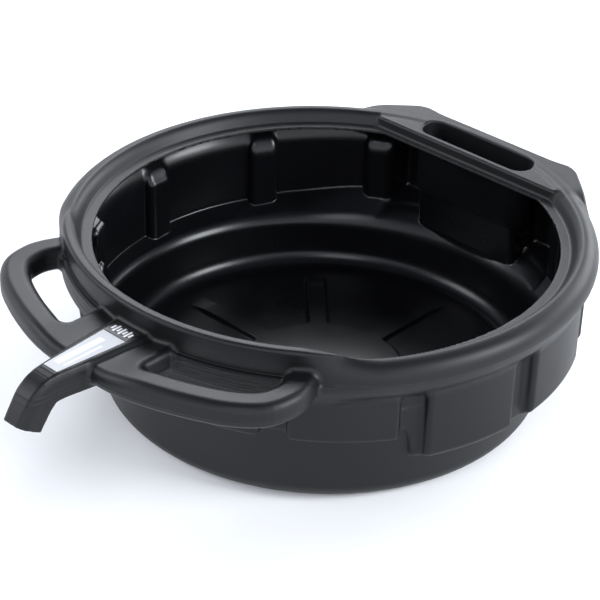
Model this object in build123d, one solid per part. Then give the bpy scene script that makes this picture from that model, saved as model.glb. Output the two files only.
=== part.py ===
from build123d import *
import math
import os

# Oil drain pan: one blow-moulded shell of black polyethylene with two printed labels.
# Frame: origin on the floor at the centre of the round base, +Z up, pouring spout towards -Y,
# carrying grip towards +Y, left and right halves mirrored in the YZ plane. Millimetres.
# Angles around the pan run from -Y towards +X.
# Every form is made twice, as the outer skin and as the space inside the wall, so each
# function takes inset, the distance that the form's faces are moved inwards.

WALL = 2.8

# Bowl, the round lower part.
BOWL_FOOT_R = 179.7
BOWL_TOP_R = 187.0
BOWL_TOP_Z = 44.0
BOWL_FOOT_FILLET = 14.0
LEDGE_R = 191.0
LEDGE_Z = 50.0

# Relief of the bowl's floor: a raised disc and eight ribs running out from it.
DISC_R = 68.9
RELIEF = 1.8
RIB_COUNT = 8
RIB_WIDTH = 18.0
RIB_END_R = 146.0

# Upper wall: panels standing out from a core, with a vertical groove between neighbours.
CORE_R = 192.5
CORE_TOP_Z = 112.0
PANEL_REACH_Z = 121.0
PANEL_CHAMFER = 5.0
PANELS = [
    # from angle, to angle, outer radius, bottom height
    (-28.7, 28.7, 197.5, 67.0),
    (34.7, 59.0, 197.5, 67.0),
    (65.0, 87.5, 201.0, 49.0),
    (93.5, 118.5, 205.5, 51.5),
    (124.5, 148.0, 209.0, 59.0),
]
REAR_WALL_FOOT_Y = 184.5
REAR_WALL_FOOT_Z = 47.0
REAR_WALL_TOP_Y = 173.5
POCKET_X = (53.0, 91.0)
POCKET_Y = 209.5
POCKET_Z = 61.0

# Rim: a hooked hollow section ending in a flat lip round the trimmed opening.
LIP_Z = 132.9
LIP_R = 185.0
LIP_CHORD_Y = 164.7
CREASE_R = 193.5
CREST_Z = 143.9
RIM_R = 215.3
SHELF_R = 209.0
RIDGE_Z = 152.8
HIDDEN_R = 150.0

# The rim's section as (radius, height): a plain ring beside and behind the pan, and a ridge
# across the front, above the spout and the finger holes. One fades into the other.
RIM_FOOT_Z = 108.0
RING_OUTLINE = [
    (198, RIM_FOOT_Z), (210, 114.5), (214.3, 121), (RIM_R, 131.1), (213.9, 136.9), (211.4, 140.4),
    (207.8, 142.8), (203.8, CREST_Z), (200.4, CREST_Z - 0.2), (197.4, 142), (CREASE_R, LIP_Z),
]
RIDGE_OUTLINE = [
    (197.2, RIM_FOOT_Z), (205, 112), (SHELF_R, 117), (SHELF_R, 124.5), (206.5, 127.5), (206.8, 138),
    (208, 149.3), (205.5, 152.2), (201.5, RIDGE_Z), (198, 151.2), (CREASE_R, LIP_Z),
]
RIDGE_END = 37.0
RIDGE_FADE = 54.0
FADE_STEPS = 4

# Rear plate with its grip slot.
PLATE_Z = (116.0, 142.7)
PLATE_CORNER = (83.4, 217.4)
PLATE_MID_Y = 215.4
PLATE_INNER_Y = 170.0
PLATE_OVERLAP_R = 202.0
SLOT_Y = 189.0
SLOT_LENGTH = 117.0
SLOT_WIDTH = 28.0

# Handles, one each side of the spout.
HANDLE_Z = (116.0, 137.0)
HANDLE_ROUND = 6.5
WEB_Z = 131.0
WEB_HALF_WIDTH = 38.0
WEB_INNER_R = 201.0
HANDLE_HALF = [
    (26, -263), (57, -257), (85, -248), (112, -236), (130, -225),
    (141, -213), (147.5, -198), (148, -182), (141, -162), (128, -150),
]
HANDLE_OUTER = HANDLE_HALF + [(-x, y) for x, y in reversed(HANDLE_HALF)]
HOLE_OUTLINE = [
    (41, -207), (39, -222), (43, -232.5), (65, -230.5), (82, -228), (105, -219),
    (123, -201), (124, -185), (121, -170.5), (100, -183.5), (75, -195.1), (47, -203.7),
]

# Spout: a closed channel that turns down to an open end.
SPOUT_SECTIONS = [
    # centre y, centre z, half width, half depth, slope of the section from upright in degrees
    (-196.0, 121.5, 17.5, 14.0, 0.0),
    (-224.0, 121.5, 17.0, 14.0, 0.0),
    (-250.0, 123.0, 14.5, 12.5, 0.0),
    (-287.0, 123.5, 10.6, 12.0, 0.0),
    (-301.0, 117.0, 9.6, 13.0, 36.0),
    (-313.4, 99.8, 8.8, 12.6, 64.0),
]
SPOUT_CORNER = 5.5

# Labels stuck on the spout's top face.
LABEL_Z = 135.5
LABEL_THICKNESS = 0.3
FRONT_LABEL = [(-7.1, -285.5), (7.1, -285.5), (11.6, -225.5), (-11.6, -225.5)]
CAPACITY_LABEL = [(-11.8, -224.5), (11.8, -224.5), (12.0, -211.0), (-12.0, -211.0)]


def polar(angle, radius, z=0.0):
    """A point at an angle round the pan, from -Y towards +X."""
    turn = math.radians(angle)
    return (radius * math.sin(turn), -radius * math.cos(turn), z)


def radial_plane(angle):
    """The upright plane through the pan's axis: its x runs outwards and its y runs up."""
    turn = math.radians(angle)
    outwards = (math.sin(turn), -math.cos(turn), 0)
    return Plane(origin=(0, 0, 0), x_dir=outwards, z_dir=(-math.cos(turn), -math.sin(turn), 0))


def moved_in(points, inset):
    """A closed outline of (x, y) points, counter-clockwise, with each side moved inwards."""
    if inset == 0:
        return list(points)
    sides = []
    for (ax, ay), (bx, by) in zip(points, points[1:] + points[:1]):
        length = math.hypot(bx - ax, by - ay)
        nx, ny = -(by - ay) / length, (bx - ax) / length
        sides.append((nx, ny, nx * ax + ny * ay + inset))
    corners = []
    for (px, py, pd), (qx, qy, qd) in zip(sides[-1:] + sides[:-1], sides):
        cross = px * qy - py * qx
        corners.append(((pd * qy - qd * py) / cross, (px * qd - qx * pd) / cross))
    return corners


def outline_face(points, inset=0.0, plane=Plane.XY):
    """A plane face inside a counter-clockwise outline moved inwards by inset."""
    return plane * make_face(Polyline(*moved_in(points, inset), close=True))


def upright(points, inset, low, high):
    """A prism on a plan outline, from height low to height high, moved inwards by inset."""
    face = Pos(0, 0, low + inset) * outline_face(points, inset)
    return extrude(face, high - low - 2 * inset)


def turned(section, start, end):
    """A section in the radial plane, turned round the pan's axis between two angles."""
    face = radial_plane(start) * make_face(Polyline(*section, close=True))
    return revolve(face, axis=Axis.Z, revolution_arc=end - start)


def bowl(inset):
    """The round lower part with its filleted foot and the ledge it widens into."""
    fillet_r = BOWL_FOOT_FILLET - inset
    foot = BOWL_FOOT_R - inset
    centre_r = foot - fillet_r
    centre_z = inset + fillet_r
    corner = [
        (centre_r + fillet_r * math.sin(math.radians(a)), centre_z - fillet_r * math.cos(math.radians(a)))
        for a in (0, 18, 36, 54, 72, 90)
    ]
    section = [(0, inset)] + corner + [
        (BOWL_TOP_R - inset, BOWL_TOP_Z),
        (LEDGE_R - inset, LEDGE_Z),
        (CORE_R - inset, 74),
        (CORE_R - inset, CORE_TOP_Z + inset),
        (0, CORE_TOP_Z + inset),
    ]
    return revolve(Plane.XZ * make_face(Polyline(*section, close=True)), axis=Axis.Z)


def floor_relief(inset):
    """What the floor's raised disc and ribs take out of the form from below."""
    grow = inset - WALL
    height = RELIEF + inset
    relief = Pos(0, 0, height / 2) * Cylinder(DISC_R + grow, height)
    rib_length = RIB_END_R + grow
    for i in range(RIB_COUNT):
        bar = Pos(rib_length / 2, 0, height / 2) * Box(rib_length, RIB_WIDTH + 2 * grow, height)
        relief += Rot(0, 0, i * 360 / RIB_COUNT) * bar
    return relief


def panels(inset):
    """The panels that stand out from the upper wall, all but the rear pockets."""
    made = None
    for low, high, radius, bottom in PANELS:
        side = math.degrees(inset / radius)
        section = moved_in(
            [
                (HIDDEN_R + 10 - 2 * inset, bottom),
                (radius - PANEL_CHAMFER, bottom),
                (radius, bottom + PANEL_CHAMFER),
                (radius, PANEL_REACH_Z + 2 * inset),
                (HIDDEN_R + 10 - 2 * inset, PANEL_REACH_Z + 2 * inset),
            ],
            inset,
        )
        panel = turned(section, low + side, high - side)
        both = panel if low < 0 < high else panel + mirror(panel, about=Plane.YZ)
        made = both if made is None else made + both
    return made


def rear_cut(inset):
    """The space behind the flat rear wall, which leans inwards as it rises."""
    section = [
        (REAR_WALL_FOOT_Y, REAR_WALL_FOOT_Z),
        (260, REAR_WALL_FOOT_Z),
        (260, LIP_Z),
        (REAR_WALL_TOP_Y, LIP_Z),
    ]
    face = outline_face(section, -inset, Plane.YZ)
    return extrude(face, POCKET_X[0] + inset, both=True)


def rear_pockets(inset):
    """The two deep pockets of the rear wall, under the corners of the plate."""
    low, high = POCKET_X
    plan = [(low, 150), (high, 150), (high, POCKET_Y - 8), (high - 8, POCKET_Y), (low, POCKET_Y)]
    pocket = upright(plan, inset, POCKET_Z, 134)
    return pocket + mirror(pocket, about=Plane.YZ)


def rim_section(inset, share):
    """The rim's section from the front ridge, at share 0, to the plain ring, at share 1."""
    hidden = (HIDDEN_R - 2 * inset, LIP_Z), (HIDDEN_R - 2 * inset, RIM_FOOT_Z)
    mixed = [
        ((1 - share) * fx + share * sx, (1 - share) * fz + share * sz)
        for (fx, fz), (sx, sz) in zip(RIDGE_OUTLINE, RING_OUTLINE)
    ]
    return moved_in([hidden[1]] + mixed + [hidden[0]], inset)


def rim(inset):
    """The whole rim: plain ring, front ridge and the two fading stretches between them."""
    ring = turned(rim_section(inset, 1), RIDGE_FADE, 360 - RIDGE_FADE)
    ridge = turned(rim_section(inset, 0), -RIDGE_END, RIDGE_END)
    faces = []
    for step in range(FADE_STEPS + 1):
        share = step / FADE_STEPS
        angle = RIDGE_END + share * (RIDGE_FADE - RIDGE_END)
        outline = Polyline(*rim_section(inset, share), close=True)
        faces.append(radial_plane(angle) * make_face(outline))
    fade = loft(faces, ruled=True)
    return ring + ridge + fade + mirror(fade, about=Plane.YZ)


def plate(inset):
    """The rear plate, running off the ring along its tangents to two square corners."""
    corner_x, corner_y = PLATE_CORNER
    reach = math.hypot(corner_x, corner_y)
    corner_angle = 180 - math.degrees(math.atan2(corner_x, corner_y))
    tangent_angle = corner_angle - math.degrees(math.acos(RIM_R / reach))
    ix = math.sqrt(CREASE_R**2 - PLATE_INNER_Y**2)
    half = [
        polar(tangent_angle + 10, PLATE_OVERLAP_R)[:2],
        polar(tangent_angle, PLATE_OVERLAP_R)[:2],
        polar(tangent_angle, RIM_R)[:2],
        (corner_x, corner_y),
        (corner_x - 14, PLATE_MID_Y),
    ]
    other = [(-x, y) for x, y in reversed(half)]
    plan = half + other + [(-ix, PLATE_INNER_Y), (ix, PLATE_INNER_Y)]
    return upright(plan, inset, *PLATE_Z)


def slot(inset):
    """The grip slot through the plate, with the wall round it left in the inner form."""
    face = SlotOverall(SLOT_LENGTH + 2 * inset, SLOT_WIDTH + 2 * inset)
    return Pos(0, SLOT_Y, PLATE_Z[0] - 12) * extrude(face, 60)


def handles(inset):
    """Both handles as one web across the front, with the finger holes still closed."""
    low, high = HANDLE_Z
    web = upright(HANDLE_OUTER, inset, low, high)
    outer = [e for e in web.edges().filter_by(Plane.XY) if e.center().Y < -155]
    web = fillet(outer, HANDLE_ROUND - inset)
    step = Pos(0, -SHELF_R - 30, WEB_Z - inset + 10)
    web -= step * Box(2 * (WEB_HALF_WIDTH + inset), 62, 20)
    return web - Cylinder(WEB_INNER_R, 400)


def finger_holes(inset):
    """The two finger holes, one in each handle."""
    hole = upright(HOLE_OUTLINE, -inset, HANDLE_Z[0] - 6, HANDLE_Z[1] + 6)
    return hole + mirror(hole, about=Plane.YZ)


def spout(inset):
    """The spout's channel from the rim to its tip. The inner form runs on past the tip."""
    faces = []
    for y, z, half_width, half_depth, slope in SPOUT_SECTIONS:
        lean = math.radians(slope)
        plane = Plane(origin=(0, y, z), x_dir=(1, 0, 0), z_dir=(0, -math.cos(lean), -math.sin(lean)))
        width, depth = 2 * (half_width - inset), 2 * (half_depth - inset)
        faces.append(plane * RectangleRounded(width, depth, SPOUT_CORNER - inset))
    channel = loft(faces, ruled=True)
    if inset:
        end = faces[-1].face()
        channel += extrude(end, 8, dir=end.normal_at())
    return channel


def moulding(inset):
    """The moulding's closed form, before its top is trimmed open."""
    body = bowl(inset) + panels(inset)
    body -= rear_cut(inset)
    body += rear_pockets(inset)
    body += rim(inset)
    body += plate(inset)
    body += handles(inset)
    body -= slot(inset)
    body -= finger_holes(inset)
    body += spout(inset)
    body -= floor_relief(inset)
    return body


def opening():
    """What the trimmed opening takes away: a round hole with a straight rear chord."""
    low = CORE_TOP_Z
    tool = Pos(0, 0, low + 30) * Cylinder(LIP_R, 60)
    return tool - Pos(0, LIP_CHORD_Y + 50, low + 30) * Box(400, 100, 60)


def pan():
    """The whole one-piece moulding."""
    return moulding(0) - moulding(WALL) - opening()


def label(outline):
    """A thin label on the spout's top face."""
    return Pos(0, 0, LABEL_Z) * extrude(outline_face(outline), LABEL_THICKNESS)


os.makedirs("parts", exist_ok=True)
NODES = {
    "pan_moulding": pan(),
    "front_label": label(FRONT_LABEL),
    "capacity_label": label(CAPACITY_LABEL),
}
for name, solid in NODES.items():
    solid.label = name
    export_step(solid, f"parts/{name}.step")
    print(name, "volume", round(solid.volume / 1000, 1), "cm3, solids", len(solid.solids()))
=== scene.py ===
import math

import bpy
import numpy as np
import openvdb
from mathutils import Matrix, Vector


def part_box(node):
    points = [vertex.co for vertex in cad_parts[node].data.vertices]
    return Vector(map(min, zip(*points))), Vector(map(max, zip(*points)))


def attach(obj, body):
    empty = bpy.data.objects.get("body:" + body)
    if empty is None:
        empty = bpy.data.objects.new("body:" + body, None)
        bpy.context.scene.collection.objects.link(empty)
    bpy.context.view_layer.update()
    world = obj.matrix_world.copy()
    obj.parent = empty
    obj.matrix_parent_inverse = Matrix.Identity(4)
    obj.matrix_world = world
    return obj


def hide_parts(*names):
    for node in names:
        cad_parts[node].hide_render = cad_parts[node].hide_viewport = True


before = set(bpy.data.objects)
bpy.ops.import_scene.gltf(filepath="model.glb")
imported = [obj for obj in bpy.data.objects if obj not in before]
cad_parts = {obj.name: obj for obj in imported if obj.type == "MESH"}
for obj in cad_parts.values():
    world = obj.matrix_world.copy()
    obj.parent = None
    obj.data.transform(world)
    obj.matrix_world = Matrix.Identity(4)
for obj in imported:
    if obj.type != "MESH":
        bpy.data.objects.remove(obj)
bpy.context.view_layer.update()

# The pan is blow moulded: its wall is one skin of even thickness that follows a rounded form.
# So the form is written as a distance field, in millimetres in the CAD frame, the wall is what
# lies within WALL below its surface, and the surface of that wall is polygonised.
MM = 0.001
STEP = 1.5                # grid step
WALL = 2.8
GRID_LOW = (0.0, -330.0, -3.0)      # the half at x >= 0 is worked out and mirrored
GRID_HIGH = (220.0, 222.0, 157.0)
OUTSIDE_R = 200.5         # handles, flange and spout start at this radius

# Bowl
FOOT_R, FOOT_Z, FOOT_ROUND = 179.7, 14.0, 16.0
DRAFT = 0.157             # how fast the bowl widens with height
LEDGE_R, LEDGE_Z, LEDGE_LEVEL = 184.3, 42.5, 12
LEDGE_SLOPE = 0.40
LEDGE_STEEPER = [         # how much steeper, between which angles round the pan
    (0.08, 88, 96), (0.12, 118, 128), (0.25, 128, 150),
]
BOWL_CAP_Z, REAR_CAP_DROP, REAR_CAP_Y = 90, 43, (90, 150)

# Floor relief
DISC_R, RELIEF = 68.9, 2.8
RIBS, RIB_HALF, RIB_END = 8, 8.6, 150.0
RIB_FADE, RIB_START = 24, (40, 60)
RELIEF_EDGE = 1.5         # half the width of the relief's sloping edge

# Upper wall: circle in plan, set back a little from the bowl's axis
BELT_Y, PANEL_R, CORE_R = 8.0, 203.5, 195.8
FRONT_PANEL_R, FRONT_PANEL_Z, FRONT_CORE_Z = 197.5, 67.0, 72.5
GROOVES = (31.7, 62.0, 90.5, 121.5, 151.0)
GROOVE_HALF = 2.95
REAR_X, REAR_Y, REAR_Z, REAR_LEAN = 52.0, 184.3, 47.0, 0.128
POCKET_X, POCKET_Y, POCKET_Z = (53.0, 91.0), 209.0, 61.0
POCKET_START_Y, POCKET_SLOPE, POCKET_SLOPE_Y = 150, 0.35, 200
FRONT_END = (60.4, 64.8)  # angles over which the front's wall gives way to the rear's
CENTRE_PANEL_END = 32
BELT_TOP_Z = 124

# Rim
LIP_R, LIP_Z, LIP_CHORD = 185.0, 132.9, 164.7
CREASE_R = 193.5
RING_R, RING_Z, RING_ROUND = 202.5, 131.0, 12.7
RIDGE_Z, RIDGE_R, SHELF_R, SHELF_Z = 152.7, 207.9, 209.3, 125.5
RIDGE_END, RIDGE_FADE = 36.0, 55.0
LIP_OUT_R, LIP_FOOT_Z, RIM_FOOT_Z = 196, 112, 104
SKIRT_R, OPENING_Z = 215.0, 118
# Faces of the rim's section, each as a line from one (radius, height) to another
RING_INNER = ((CREASE_R + 5.2, LIP_Z + 10.1), (CREASE_R, LIP_Z))
RING_FLARE = ((198.0, 106.5), (214.6, 120.5))
RIDGE_INNER = ((CREASE_R + 4.9, LIP_Z + 19), (CREASE_R, LIP_Z))
RIDGE_OUTER = ((206.2, 127.0), (RIDGE_R + 0.4, RIDGE_Z))
RIDGE_UNDER = ((197.6, 106.5), (SHELF_R + 1.0, 117.0))

# Rear plate and its slot
PLATE_LOW, PLATE_TOP = 116.0, 142.7
PLATE_CORNER, PLATE_BACK, PLATE_INNER = (83.0, 217.0), 214.9, 170.5
PLATE_STEP_LEAN = 0.15
PLATE_BULGE, PLATE_BULGE_X = 2.1, (58, 80)
PLATE_IN_R, PLATE_IN_X = 199.5, 96
PLATE_SINK, PLATE_SINK_LOW, PLATE_SINK_TURN = 13, 8, (29, 43)
PLATE_BOX = ((-1, 175), (140, 240), (90, 165))
SLOT_Y, SLOT_HALF, SLOT_R, SLOT_FOOT_Z = 189.0, 57.0, 12.7, 90

# Handles
HANDLE_LOW, HANDLE_TOP, HANDLE_ROUND = 116.0, 136.8, 7.5
HANDLE_LINE = [
    (0, -250), (26, -251), (48, -248), (72, -241), (96, -231.5), (116, -221),
    (131, -207), (135.5, -192), (134.5, -178), (126, -160), (116, -150),
]
HANDLE_HALF = 11.8
WEB_HALF, WEB_Y = 41.5, (-252, -190)
WEB_DROP, WEB_DROP_X = 4.6, (14, 60)       # the common top falls towards the spout
FRONT_BOX = ((-1, 175), (-290, -130), (90, 165))

# Scarred edge beside the finger holes
FLANGE_R, FLANGE_Z, FLANGE_END, FLANGE_DEGREE = 210.2, (113, 130.2), 39, 3.6

# Spout, with stations as (y, centre height, half width of the top, half depth)
SPOUT_TOP_Z = 135.45
SPOUT_CUT_Y = -290        # only the tip, in front of this, is cut open
SPOUT_TAPER = 0.42        # slope of the sides above the parting line
SPOUT_OUT, SPOUT_DROP, SPOUT_LOWER_TAPER = 2.6, 6.0, 0.10
SPOUT_BOX = ((-1, 60), (-350, -160), (70, 165))
SPOUT_STATIONS = [
    (-190, 123.0, 17.6, 12.5), (-250, 123.6, 13.0, 11.9), (-287, 124.0, 9.2, 11.5),
    (-299, 118.6, 8.6, 12.4), (-306.5, 109.5, 8.1, 12.6), (-313.4, 99.4, 7.8, 12.4),
]


def round_union(a, b, r):
    """Two forms joined with a fillet of radius r."""
    return np.maximum(r, np.minimum(a, b)) - np.hypot(np.maximum(r - a, 0), np.maximum(r - b, 0))


def round_meet(a, b, r):
    """What two forms share, with the edge between their faces rounded to radius r."""
    return np.minimum(-r, np.maximum(a, b)) + np.hypot(np.maximum(r + a, 0), np.maximum(r + b, 0))


def smooth(low, high, value):
    """0 below low, 1 above high, and an S curve between."""
    t = np.clip((value - low) / (high - low), 0, 1)
    return t * t * (3 - 2 * t)


def half_plane(u, v, start, end):
    """Distance to the right of the line from start to end, in the plane of u and v."""
    du, dv = end[0] - start[0], end[1] - start[1]
    length = math.hypot(du, dv)
    return ((u - start[0]) * dv - (v - start[1]) * du) / length


def curve(points, count):
    """A smooth open curve through the points, as count points along it."""
    p = np.array([points[0]] + list(points) + [points[-1]], float)
    out = []
    spans = len(points) - 1
    for t in np.linspace(0, spans - 1e-6, count):
        i, f = int(t), t - int(t)
        a, b, c, d = p[i : i + 4]
        square, cube = 2 * a - 5 * b + 4 * c - d, 3 * b - a - 3 * c + d
        out.append(0.5 * (2 * b + (c - a) * f + square * f**2 + cube * f**3))
    return [tuple(q) for q in out]


def nearest_on_line(u, v, points, values):
    """Distance to a line of points, which side it is on, and the values carried along it."""
    best = np.full(u.shape, 1e9, np.float32)
    side = np.zeros(u.shape, np.float32)
    carried = [np.zeros(u.shape, np.float32) for _ in values]
    for i in range(len(points) - 1):
        (au, av), (bu, bv) = points[i], points[i + 1]
        eu, ev = bu - au, bv - av
        length = math.hypot(eu, ev)
        t = np.clip(((u - au) * eu + (v - av) * ev) / length**2, 0, 1)
        d = np.hypot(u - au - eu * t, v - av - ev * t)
        closer = d < best
        best = np.where(closer, d, best)
        cross = ((u - au) * ev - (v - av) * eu) / length
        side = np.where(closer, cross, side)
        for k, value in enumerate(values):
            carried[k] = np.where(closer, value[i] * (1 - t) + value[i + 1] * t, carried[k])
    return best, side, carried


def only_near(shape_box, x, y, z, make, far=40.0):
    """make(x, y, z) inside a box, and a far distance outside it, to save time."""
    (x0, x1), (y0, y1), (z0, z1) = shape_box
    near = (x > x0) & (x < x1) & (y > y0) & (y < y1) & (z > z0) & (z < z1)
    out = np.full(x.shape, far, np.float32)
    if near.any():
        out[near] = make(x[near], y[near], z[near])
    return out


def floor_height(x, y, r):
    """How far the floor's underside is raised: a disc and eight ribs."""
    turn = np.arctan2(y, x)
    sector = 2 * math.pi / RIBS
    off = (turn + sector / 2) % sector - sector / 2
    across = np.abs(r * np.sin(off))
    rib = 1 - smooth(RIB_HALF - RELIEF_EDGE, RIB_HALF + RELIEF_EDGE, across)
    rib = rib * (1 - smooth(RIB_END - RIB_FADE, RIB_END, r)) * smooth(*RIB_START, r)
    disc = 1 - smooth(DISC_R - RELIEF_EDGE, DISC_R + RELIEF_EDGE, r)
    return RELIEF * np.maximum(rib, disc)


def bowl(x, y, z, r):
    """The round lower part: floor, foot fillet and drafted wall."""
    wall = (r - FOOT_R - DRAFT * (z - FOOT_Z)) / math.hypot(1, DRAFT)
    return round_meet(floor_height(x, y, r) - z, wall, FOOT_ROUND)


def ledge(r, z, turn):
    """Distance below the upper wall's underside, which slopes up and out from the bowl."""
    slope = LEDGE_SLOPE
    for more, start, end in LEDGE_STEEPER:
        slope = slope + more * smooth(start, end, turn)
    height = LEDGE_Z + (np.maximum(r, LEDGE_R - LEDGE_LEVEL) - LEDGE_R) * slope
    return (height - z) / np.sqrt(1 + slope**2)


def belt(x, y, z, r, turn):
    """The upper wall: a core, the panels that stand out from it and the rear pockets."""
    plan = np.hypot(x, y - BELT_Y)
    front = 1 - smooth(*FRONT_END, turn)
    under = ledge(r, z, turn)
    foot = (front * (FRONT_CORE_Z - z) + (1 - front) * under) / (1 + 5 * front * (1 - front))
    core = round_meet(plan - CORE_R, foot, 3.0)
    panel_out = np.where(turn < CENTRE_PANEL_END, r - FRONT_PANEL_R, plan - PANEL_R)
    gap = np.full(turn.shape, -1e3, np.float32)
    for middle in GROOVES:
        gap = np.maximum(gap, (GROOVE_HALF - np.abs(turn - middle)) * math.pi / 180 * r)
    gap = np.maximum(gap, (turn - GROOVES[-1]) * math.pi / 180 * r)
    panels = round_meet(panel_out, gap, 4.5)
    before = round_union(core, round_meet(panels, FRONT_PANEL_Z - z, 5.0), 3.5)
    behind = round_meet(round_union(plan - CORE_R, panels, 4.0), under, 4.0)
    body = front * before + (1 - front) * behind

    rear = (y - REAR_Y + REAR_LEAN * (z - REAR_Z)) / math.hypot(1, REAR_LEAN)
    body = round_meet(body, -round_meet(-rear, x - REAR_X, 3.0), 2.5)

    side = np.maximum(np.maximum(POCKET_X[0] - x, x - POCKET_X[1]), POCKET_START_Y - y)
    pocket = round_meet(y - POCKET_Y, side, 7.0)
    pocket = round_meet(pocket, POCKET_Z - z + POCKET_SLOPE * (y - POCKET_SLOPE_Y), 6.0)
    return round_union(body, pocket, 3.0)


def lip_section(r, z):
    """The flat splash lip, which both rim sections share."""
    return np.maximum(np.maximum(z - LIP_Z, r - LIP_OUT_R), LIP_FOOT_Z - z)


def ring_section(r, z):
    """The plain rim: a round bead that flares out of the wall, with the lip inside it."""
    bead = np.hypot(r - RING_R, z - RING_Z) - RING_ROUND
    bead = round_meet(bead, half_plane(r, z, *RING_INNER), 3.5)
    flare = half_plane(r, z, *RING_FLARE)
    skirt = round_meet(flare, r - SKIRT_R, 9.0)
    skirt = round_meet(skirt, z - RING_Z, 1.0)
    ring = np.minimum(bead, skirt)
    return round_union(np.maximum(ring, RIM_FOOT_Z - z), lip_section(r, z), 1.2)


def ridge_section(r, z):
    """The rim across the front: a narrow ridge on a shelf, with the lip inside it."""
    inner = half_plane(r, z, *RIDGE_INNER)
    outer = half_plane(r, z, *RIDGE_OUTER)
    ridge = round_meet(round_meet(inner, z - RIDGE_Z, 4.0), outer, 3.2)
    under = half_plane(r, z, *RIDGE_UNDER)
    shelf = round_meet(round_meet(under, r - SHELF_R, 5.0), z - SHELF_Z, 2.5)
    rim = round_union(ridge, shelf, 3.0)
    return round_union(np.maximum(rim, RIM_FOOT_Z - z), lip_section(r, z), 1.2)


def plate(x, y, z):
    """The rear plate, running off the ring along its tangents to two corners."""
    corner_x, corner_y = PLATE_CORNER
    reach = math.hypot(corner_x, corner_y)
    radius = RING_R + RING_ROUND - 0.2
    turn = math.atan2(corner_x, corner_y) + math.acos(radius / reach)
    tangent = (radius * math.sin(turn), radius * math.cos(turn))
    side = half_plane(x, y, tangent, (corner_x, corner_y))
    back = y - PLATE_BACK - PLATE_BULGE * smooth(*PLATE_BULGE_X, x)
    plan = round_meet(side, back, 7.0)
    lean = math.hypot(1, PLATE_STEP_LEAN)
    step = (PLATE_INNER - y + PLATE_STEP_LEAN * (z - PLATE_TOP)) / lean
    plan = round_meet(plan, step, 1.5)
    plan = np.maximum(plan, round_union(PLATE_IN_R - np.hypot(x, y), x - PLATE_IN_X, 4.0))
    sink = smooth(*PLATE_SINK_TURN, np.degrees(np.arctan2(x, y)))
    level = round_meet(z - PLATE_TOP + PLATE_SINK * sink, PLATE_LOW + PLATE_SINK_LOW * sink - z, 2.0)
    return round_meet(plan, level, 2.4)


def slot(x, y, z):
    """The grip slot, as the space it takes away."""
    return np.hypot(np.maximum(x - (SLOT_HALF - SLOT_R), 0), y - SLOT_Y) - SLOT_R


HANDLE_CURVE = curve(HANDLE_LINE, 41)


def bars(x, y, z):
    """The handle and the web that joins it to the spout and the rim, with one common top."""
    away, _, _ = nearest_on_line(x, y, HANDLE_CURVE, [])
    web = round_meet(x - WEB_HALF, WEB_Y[0] - y, 6.0)
    plan = round_union(away - HANDLE_HALF, np.maximum(web, y - WEB_Y[1]), 7.0)
    top = HANDLE_TOP - WEB_DROP * (1 - smooth(*WEB_DROP_X, x))
    return round_meet(plan, np.maximum(z - top, HANDLE_LOW - z), HANDLE_ROUND)


def flange(x, y, z):
    """The scarred edge left along the pan's side of the finger hole."""
    turn = np.degrees(np.arctan2(x, -y))
    plan = round_meet(np.hypot(x, y) - FLANGE_R, (turn - FLANGE_END) * FLANGE_DEGREE, 5.0)
    return round_meet(plan, np.maximum(z - FLANGE_Z[1], FLANGE_Z[0] - z), 2.0)


SPOUT_STEPS = curve(SPOUT_STATIONS, 26)
SPOUT_CURVE = [(y, z) for y, z, _, _ in SPOUT_STEPS]
SPOUT_SIZES = [[top for _, _, top, _ in SPOUT_STEPS], [depth for _, _, _, depth in SPOUT_STEPS]]


def spout(x, y, z):
    """The spout's channel, turned down at its end. Its section is widest at the parting line."""
    _, up, (top, depth) = nearest_on_line(y, z, SPOUT_CURVE, SPOUT_SIZES)
    upper = (x - top - (depth - up) * SPOUT_TAPER) / math.hypot(1, SPOUT_TAPER)
    lower = x - top - SPOUT_OUT + (depth - SPOUT_DROP - up) * SPOUT_LOWER_TAPER
    lower = lower / math.hypot(1, SPOUT_LOWER_TAPER)
    side = round_meet(upper, lower, 1.2)
    return np.maximum(round_meet(side, np.abs(up) - depth, 1.8), z - SPOUT_TOP_Z)


def form(x, y, z):
    """The pan's outer form, before its top and its spout's tip are trimmed open."""
    x = np.abs(x)
    r = np.hypot(x, y)
    turn = np.degrees(np.arctan2(x, -y))
    body = bowl(x, y, z, r)
    upper = np.maximum(belt(x, y, z, r, turn), z - BELT_TOP_Z)
    cap = BOWL_CAP_Z - REAR_CAP_DROP * smooth(*REAR_CAP_Y, y)
    body = round_union(np.maximum(body, z - cap), upper, 3.0)
    share = smooth(RIDGE_END, RIDGE_FADE, turn)
    rim = (1 - share) * ridge_section(r, z) + share * ring_section(r, z)
    body = round_union(body, rim, 5.0)
    body = round_union(body, only_near(PLATE_BOX, x, y, z, plate), 3.0)
    body = round_meet(body, -np.maximum(slot(x, y, z), SLOT_FOOT_Z - z), 2.0)
    body = round_union(body, np.maximum(only_near(FRONT_BOX, x, y, z, flange), OUTSIDE_R - r), 1.0)
    body = round_union(body, np.maximum(only_near(FRONT_BOX, x, y, z, bars), OUTSIDE_R - r), 4.0)
    channel = only_near(SPOUT_BOX, x, y, z, spout)
    return round_union(body, np.maximum(channel, OUTSIDE_R - r), 4.0)


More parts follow.
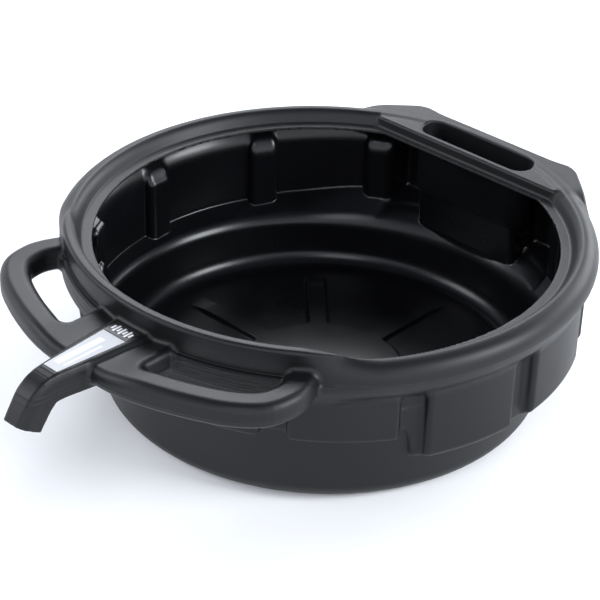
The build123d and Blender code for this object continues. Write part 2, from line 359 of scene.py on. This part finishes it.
def wall(x, y, z):
    """The trimmed wall: within WALL of the form's surface, open at the lip and the spout's tip."""
    outer = form(x, y, z)
    skin = np.maximum(outer, -outer - WALL)
    r = np.hypot(x, y)
    opening = np.maximum(np.maximum(r - LIP_R, y - LIP_CHORD), OPENING_Z - z)
    skin = round_meet(skin, -opening, 0.5)
    (ay, az), (by, bz) = SPOUT_CURVE[-2:]
    length = math.hypot(by - ay, bz - az)
    past = ((y - by) * (by - ay) + (z - bz) * (bz - az)) / length
    return np.maximum(skin, np.where(y < SPOUT_CUT_Y, past, -50))


def polygonised(low, high, step, field):
    """The zero surface of a field that is mirrored in x, as points and quads."""
    axes = [np.arange(a, b + step, step, dtype=np.float32) for a, b in zip(low, high)]
    shape = tuple(len(a) for a in axes)
    half = np.empty(shape, np.float32)
    for k in range(0, shape[2], 8):
        gx, gy, gz = np.meshgrid(axes[0], axes[1], axes[2][k : k + 8], indexing="ij")
        half[:, :, k : k + 8] = field(gx.ravel(), gy.ravel(), gz.ravel()).reshape(gx.shape)
    whole = np.concatenate([half[:0:-1], half], axis=0)
    whole = np.clip(whole, -3 * step, 3 * step)
    grid = openvdb.FloatGrid(3 * step)
    grid.copyFromArray(whole)
    points, quads = grid.convertToQuads(isovalue=0.0)
    origin = np.array([-axes[0][-1], axes[1][0], axes[2][0]])
    return points * step + origin, quads


def settled(points, field, rounds=2, nudge=0.2):
    """Points moved along the field's gradient onto its zero surface, and the normals there."""
    p = points.astype(np.float64)
    for i in range(rounds + 1):
        x, y, z = p.T
        here = field(x, y, z)
        slope = np.stack(
            [
                field(x + nudge, y, z) - field(x - nudge, y, z),
                field(x, y + nudge, z) - field(x, y - nudge, z),
                field(x, y, z + nudge) - field(x, y, z - nudge),
            ],
            axis=1,
        ) / (2 * nudge)
        size = np.maximum(np.linalg.norm(slope, axis=1), 0.2)
        if i < rounds:
            move = -(here / size**2)[:, None] * slope
            p += np.clip(move, -0.8, 0.8)
    return p, slope / size[:, None]


def mesh_object(name, points, quads, normals=None):
    """A Blender object in metres from points in millimetres."""
    mesh = bpy.data.meshes.new(name)
    mesh.from_pydata((points * MM).tolist(), [], quads.tolist())
    mesh.update()
    mesh.polygons.foreach_set("use_smooth", [True] * len(mesh.polygons))
    if normals is not None:
        mesh.normals_split_custom_set_from_vertices(normals.tolist())
    thing = bpy.data.objects.new(name, mesh)
    bpy.context.scene.collection.objects.link(thing)
    return thing


def node(tree, kind, **settings):
    """A shader node with its settings and input values filled in."""
    made = tree.nodes.new(kind)
    for key, value in settings.items():
        if key in made.inputs:
            made.inputs[key].default_value = value
        else:
            setattr(made, key, value)
    return made


def maths(tree, operation, *values):
    """The output of a math node fed by sockets or plain numbers."""
    made = tree.nodes.new("ShaderNodeMath")
    made.operation = operation
    for socket, value in zip(made.inputs, values):
        if isinstance(value, (int, float)):
            socket.default_value = value
        else:
            tree.links.new(value, socket)
    return made.outputs[0]


def between(tree, value, low, high, soft):
    """1 where a value lies between two limits, fading to 0 over a soft distance outside them."""
    half, middle = (high - low) / 2, (high + low) / 2
    off = maths(tree, "ABSOLUTE", maths(tree, "SUBTRACT", value, middle))
    over = maths(tree, "DIVIDE", maths(tree, "SUBTRACT", half + soft, off), soft)
    return maths(tree, "MINIMUM", maths(tree, "MAXIMUM", over, 0.0), 1.0)


# Where the parting lines and the scarred edges lie, in metres
SEAM_SOFT = 0.0005
RIM_SEAM_R, RIM_SEAM_Y = (0.2118, 0.2300), (-0.165, 0.3)
RIM_SEAM_Z = ((0.1246, 0.1249), (0.1284, 0.1287))
BAR_SEAM_Y = (-0.40, -0.185)
BAR_SEAM_Z = ((0.1196, 0.1199), (0.1232, 0.1235))
SCAR_R, SCAR_Z, SCAR_Y = (0.2085, 0.2112), (0.110, 0.1285), (-0.25, -0.165)


def seam_height(tree, position):
    """Bump height of the two fine parting lines and of the scarred edges of the finger holes."""
    split = node(tree, "ShaderNodeSeparateXYZ")
    tree.links.new(position, split.inputs["Vector"])
    x, y, z = split.outputs
    across, along = maths(tree, "MULTIPLY", x, x), maths(tree, "MULTIPLY", y, y)
    radius = maths(tree, "SQRT", maths(tree, "ADD", across, along))
    zones = []
    for zone, heights in (
        ([(radius, *RIM_SEAM_R, 0.001), (y, *RIM_SEAM_Y, 0.02)], RIM_SEAM_Z),
        ([(y, *BAR_SEAM_Y, 0.02)], BAR_SEAM_Z),
    ):
        where = [between(tree, *limits) for limits in zone]
        mask = where[0] if len(where) == 1 else maths(tree, "MULTIPLY", *where)
        pair = maths(tree, "ADD", *[between(tree, z, *limits, SEAM_SOFT) for limits in heights])
        zones.append(maths(tree, "MULTIPLY", mask, pair))
    lines = maths(tree, "ADD", *zones)

    around = maths(tree, "ARCTAN2", x, y)
    stretched = node(tree, "ShaderNodeCombineXYZ")
    tree.links.new(maths(tree, "MULTIPLY", around, 9.0), stretched.inputs[0])
    tree.links.new(maths(tree, "MULTIPLY", z, 650.0), stretched.inputs[1])
    scar = node(tree, "ShaderNodeTexNoise", Scale=1.0, Detail=3.0)
    tree.links.new(stretched.outputs[0], scar.inputs["Vector"])
    ring = between(tree, radius, *SCAR_R, 0.0006)
    edge = maths(tree, "MULTIPLY", ring, between(tree, z, *SCAR_Z, 0.001))
    edge = maths(tree, "MULTIPLY", edge, between(tree, y, *SCAR_Y, 0.005))
    scarred = maths(tree, "MULTIPLY", maths(tree, "MULTIPLY", scar.outputs["Fac"], 5.0), edge)
    return maths(tree, "ADD", lines, scarred)


def moulded_plastic(name, roughness, grain, grain_scale, seams):
    """Black polyethylene with fine moulded grain, cloudy colour and uneven gloss."""
    material = bpy.data.materials.new(name)
    material.use_nodes = True
    tree = material.node_tree
    link = tree.links.new
    shader = tree.nodes["Principled BSDF"]
    shader.inputs["IOR"].default_value = 1.37
    place = node(tree, "ShaderNodeTexCoord")

    cloud = node(tree, "ShaderNodeTexNoise", Scale=9.0, Detail=4.0, Roughness=0.6)
    link(place.outputs["Object"], cloud.inputs["Vector"])
    tint = node(tree, "ShaderNodeValToRGB")
    tint.color_ramp.elements[0].position = 0.3
    tint.color_ramp.elements[0].color = (0.0020, 0.0021, 0.0026, 1)
    tint.color_ramp.elements[1].position = 0.75
    tint.color_ramp.elements[1].color = (0.0034, 0.0036, 0.0044, 1)
    link(cloud.outputs["Fac"], tint.inputs["Fac"])
    link(tint.outputs["Color"], shader.inputs["Base Color"])

    speckle = node(tree, "ShaderNodeTexNoise", Scale=grain_scale * 0.55, Detail=3.0, Roughness=0.7)
    link(place.outputs["Object"], speckle.inputs["Vector"])
    mixed = node(tree, "ShaderNodeMath", operation="MULTIPLY_ADD")
    mixed.inputs[1].default_value = 0.35 if seams else 0.05
    link(speckle.outputs["Fac"], mixed.inputs[0])
    link(cloud.outputs["Fac"], mixed.inputs[2])
    gloss = node(tree, "ShaderNodeMapRange")
    gloss.inputs["From Min"].default_value = 0.35
    gloss.inputs["From Max"].default_value = 1.0
    gloss.inputs["To Min"].default_value = roughness - 0.04
    gloss.inputs["To Max"].default_value = roughness + 0.06
    link(mixed.outputs[0], gloss.inputs["Value"])
    link(gloss.outputs[0], shader.inputs["Roughness"])

    pits = node(tree, "ShaderNodeTexNoise", Scale=grain_scale, Detail=2.0, Roughness=0.5)
    link(place.outputs["Object"], pits.inputs["Vector"])
    height = maths(tree, "MULTIPLY", pits.outputs["Fac"], grain)
    if seams:
        height = maths(tree, "ADD", height, seam_height(tree, place.outputs["Object"]))
    bump = node(tree, "ShaderNodeBump", Strength=1.0, Distance=0.0002)
    link(height, bump.inputs["Height"])
    link(bump.outputs["Normal"], shader.inputs["Normal"])
    return material


def label_film(name, low, high, roughness):
    """Printed label film: a brushed grey that varies between two greys."""
    material = bpy.data.materials.new(name)
    material.use_nodes = True
    tree = material.node_tree
    link = tree.links.new
    shader = tree.nodes["Principled BSDF"]
    shader.inputs["Roughness"].default_value = roughness
    place = node(tree, "ShaderNodeTexCoord")
    stretch = node(tree, "ShaderNodeMapping")
    stretch.inputs["Scale"].default_value = (900, 60, 900)
    link(place.outputs["Object"], stretch.inputs["Vector"])
    streak = node(tree, "ShaderNodeTexNoise", Scale=1.0, Detail=3.0)
    link(stretch.outputs["Vector"], streak.inputs["Vector"])
    tint = node(tree, "ShaderNodeValToRGB")
    tint.color_ramp.elements[0].color = low + (1,)
    tint.color_ramp.elements[1].color = high + (1,)
    link(streak.outputs["Fac"], tint.inputs["Fac"])
    link(tint.outputs["Color"], shader.inputs["Base Color"])
    return material


def pan_skin():
    """The pan's moulding, with grained plastic outside and smoother plastic inside."""
    points, quads = polygonised(GRID_LOW, GRID_HIGH, STEP, wall)
    points, normals = settled(points, wall)
    pan = mesh_object("pan_moulding_skin", points, quads, normals)
    middle = points[quads].mean(axis=1)
    depth = form(*middle.T)
    pan.data.materials.append(moulded_plastic("grained_outside", 0.43, 0.35, 1500.0, True))
    pan.data.materials.append(moulded_plastic("smooth_inside", 0.27, 0.06, 700.0, False))
    pan.data.polygons.foreach_set("material_index", (depth < -WALL / 2).astype(np.int32))
    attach(pan, "root")
    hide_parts("pan_moulding")


def label_print(name, bars, height, colour):
    """Flat printed marks on a label, each a bar given by its centre and size in millimetres."""
    points, faces = [], []
    for cx, cy, width, length in bars:
        k = len(points)
        for sx, sy in ((-1, -1), (1, -1), (1, 1), (-1, 1)):
            points.append((cx + sx * width / 2, cy + sy * length / 2, height))
        faces.append((k, k + 1, k + 2, k + 3))
    marks = mesh_object(name, np.array(points), np.array(faces))
    marks.data.materials.append(label_film(name + "_ink", colour, colour, 0.4))
    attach(marks, "root")


def labels():
    """Films for the two labels and plain bars where the real ones carry print."""
    silver = label_film("silver_film", (0.36, 0.37, 0.39), (0.46, 0.47, 0.49), 0.45)
    black = label_film("black_film", (0.010, 0.010, 0.011), (0.018, 0.018, 0.020), 0.35)
    for name, film in (("front_label", silver), ("capacity_label", black)):
        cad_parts[name].data.materials.clear()
        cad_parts[name].data.materials.append(film)
    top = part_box("front_label")[1][2] / MM + 0.04
    stripes = [(-2.6, -256, 5.4, 44), (4.4, -259, 1.8, 36)]
    label_print("front_label_bars", stripes, top, (0.62, 0.63, 0.65))
    ticks = [(x, -217.6, 1.9, 8.6 if x % 6 == 0 else 5.0) for x in range(-9, 10, 3)]
    label_print("capacity_label_ticks", ticks, top, (0.85, 0.85, 0.86))


def camera():
    """The camera, three quarters from the front right and above."""
    data = bpy.data.cameras.new("camera")
    data.sensor_width = 36
    data.lens = 117.41
    thing = bpy.data.objects.new("camera", data)
    right = Vector((0.726190, 0.686997, 0.026140))
    up = Vector((-0.375711, 0.364728, 0.851948))
    back = right.cross(up)
    turned = Matrix((right, up, back)).transposed().to_4x4()
    turned.translation = Vector((0.899070, -1.010017, 0.898181))
    thing.matrix_world = turned
    bpy.context.scene.collection.objects.link(thing)
    bpy.context.scene.camera = thing


def area_light(name, place, target, size, power):
    """A soft rectangular lamp aimed at a target."""
    data = bpy.data.lights.new(name, "AREA")
    data.shape = "RECTANGLE"
    data.size, data.size_y = size
    data.energy = power
    data.color = (0.93, 0.96, 1.0)
    thing = bpy.data.objects.new(name, data)
    thing.location = place
    thing.rotation_euler = (Vector(target) - Vector(place)).to_track_quat("-Z", "Y").to_euler()
    bpy.context.scene.collection.objects.link(thing)


FLOOR_Z = -0.0005         # just under the pan, in metres
LAMPS = [
    # name, place, target, size and power
    ("key", (-1.6, 1.5, 2.0), (0, 0, 0.1), (1.3, 1.3), 45),
    ("right", (2.2, 0.9, 1.4), (0, 0, 0.1), (1.0, 1.0), 62),
    ("left", (-1.7, -1.6, 1.5), (0, -0.2, 0.0), (1.0, 1.0), 22),
    ("front", (1.2, -1.9, 2.2), (0.1, -0.2, 0.0), (1.0, 1.0), 13),
    ("back", (0.2, 2.2, 0.9), (0.1, 0, 0.1), (1.6, 0.6), 26),
]


def studio():
    """A pale floor, and a surround bright at the horizon, dim overhead, stronger front right."""
    mesh = bpy.data.meshes.new("studio_floor")
    side = 8.0
    turns = ((-1, -1), (1, -1), (1, 1), (-1, 1))
    corners = [(sx * side, sy * side, FLOOR_Z) for sx, sy in turns]
    mesh.from_pydata(corners, [], [(0, 1, 2, 3)])
    thing = bpy.data.objects.new("studio_floor", mesh)
    bpy.context.scene.collection.objects.link(thing)
    material = bpy.data.materials.new("studio_floor")
    material.use_nodes = True
    shader = material.node_tree.nodes["Principled BSDF"]
    shader.inputs["Base Color"].default_value = (0.93, 0.93, 0.93, 1)
    shader.inputs["Roughness"].default_value = 0.95
    shader.inputs["Specular IOR Level"].default_value = 0.1
    mesh.materials.append(material)

    world = bpy.data.worlds.new("studio")
    world.use_nodes = True
    tree = world.node_tree
    place = node(tree, "ShaderNodeTexCoord")
    split = node(tree, "ShaderNodeSeparateXYZ")
    tree.links.new(place.outputs["Generated"], split.inputs["Vector"])
    band = node(tree, "ShaderNodeValToRGB")
    ramp = band.color_ramp
    ramp.interpolation = "EASE"
    ramp.elements[0].position, ramp.elements[0].color = 0.20, (0.965, 0.99, 1.04, 1)
    ramp.elements[1].position, ramp.elements[1].color = 0.80, (0.07, 0.075, 0.09, 1)
    middle = ramp.elements.new(0.52)
    middle.color = (0.50, 0.525, 0.60, 1)
    tree.links.new(split.outputs["Z"], band.inputs["Fac"])
    tree.links.new(band.outputs["Color"], tree.nodes["Background"].inputs["Color"])
    rightward = maths(tree, "MULTIPLY", split.outputs["X"], 0.85)
    toward = maths(tree, "SUBTRACT", rightward, maths(tree, "MULTIPLY", split.outputs["Y"], 0.5))
    extra = maths(tree, "MULTIPLY", maths(tree, "MAXIMUM", toward, 0.0), 0.8)
    strength = maths(tree, "ADD", extra, 1.85)
    tree.links.new(strength, tree.nodes["Background"].inputs["Strength"])
    bpy.context.scene.world = world
    bpy.context.scene.view_settings.view_transform = "Standard"


camera()
studio()
for lamp in LAMPS:
    area_light(*lamp)
pan_skin()
labels()
